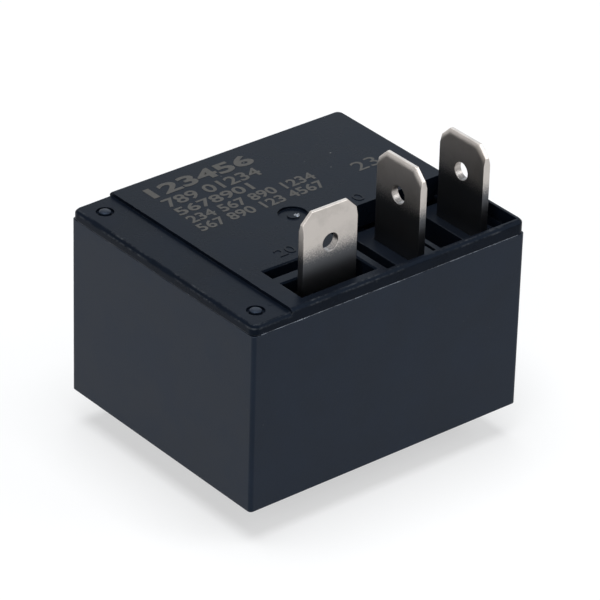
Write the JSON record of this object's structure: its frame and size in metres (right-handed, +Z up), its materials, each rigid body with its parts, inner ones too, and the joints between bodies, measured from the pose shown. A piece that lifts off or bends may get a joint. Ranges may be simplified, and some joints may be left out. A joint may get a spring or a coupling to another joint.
{
  "type": "pcb power relay",
  "caption": "Black box-shaped power relay for a circuit board, with flat quick-connect blades on top, board pins below and a hinged armature inside.",
  "frame": {"origin": "middle of the case outline, at the level of the pin tips", "axes": "+Z up, out of the blades; +X along the long side, towards the normally closed blade"},
  "size_m": [0.0322, 0.0274, 0.0308],
  "materials": {
    "case_plastic": "black satin moulded plastic",
    "potting": "dark resin",
    "block_plastic": "black satin moulded plastic",
    "barrier_sheet": "tan insulating sheet",
    "tinned_metal": "tin plated, satin",
    "contact_silver": "silver alloy, satin",
    "bobbin_plastic": "black satin moulded plastic",
    "copper_wire": "enamelled copper wire",
    "amber_tape": "amber film tape",
    "magnet_iron": "nickel plated soft iron",
    "spring_bronze": "rolled bronze strip",
    "rivet_steel": "plated steel",
    "arm_copper": "rolled copper alloy strip",
    "braid_copper": "braided copper"
  },
  "bodies": {
    "relay_body": {"case": "case_plastic", "top_plate": "case_plastic", "base_plate": "case_plastic", "base_seal": "potting", "contact_block": "block_plastic", "barrier": "barrier_sheet", "com_terminal": "tinned_metal", "no_terminal": "tinned_metal", "nc_terminal": "tinned_metal", "no_contact": "contact_silver", "nc_contact": "contact_silver", "coil_pin_start": "tinned_metal", "coil_pin_finish": "tinned_metal", "bobbin": "bobbin_plastic", "winding": "copper_wire", "coil_tape": "amber_tape", "start_lead": "copper_wire", "finish_lead": "copper_wire", "core": "magnet_iron", "yoke": "magnet_iron", "hinge_spring": "spring_bronze", "yoke_rivets": "rivet_steel", "braid": "braid_copper"},
    "armature_group": {"armature": "magnet_iron", "armature_rivets": "rivet_steel", "contact_arm": "arm_copper", "arm_rivets": "rivet_steel", "moving_contact": "contact_silver"}
  },
  "joints": [
    {"name": "armature_tilt", "type": "hinge", "parent": "relay_body", "child": "armature_group", "pos_m": [0.00804, 0.0112, 0.01375], "axis": [0, 0, -1], "range_deg": [0, 2.9], "stiffness_Nm_per_rad": 0.02, "springref_deg": -2.86, "deforming": ["hinge_spring", "braid"]}
  ]
}
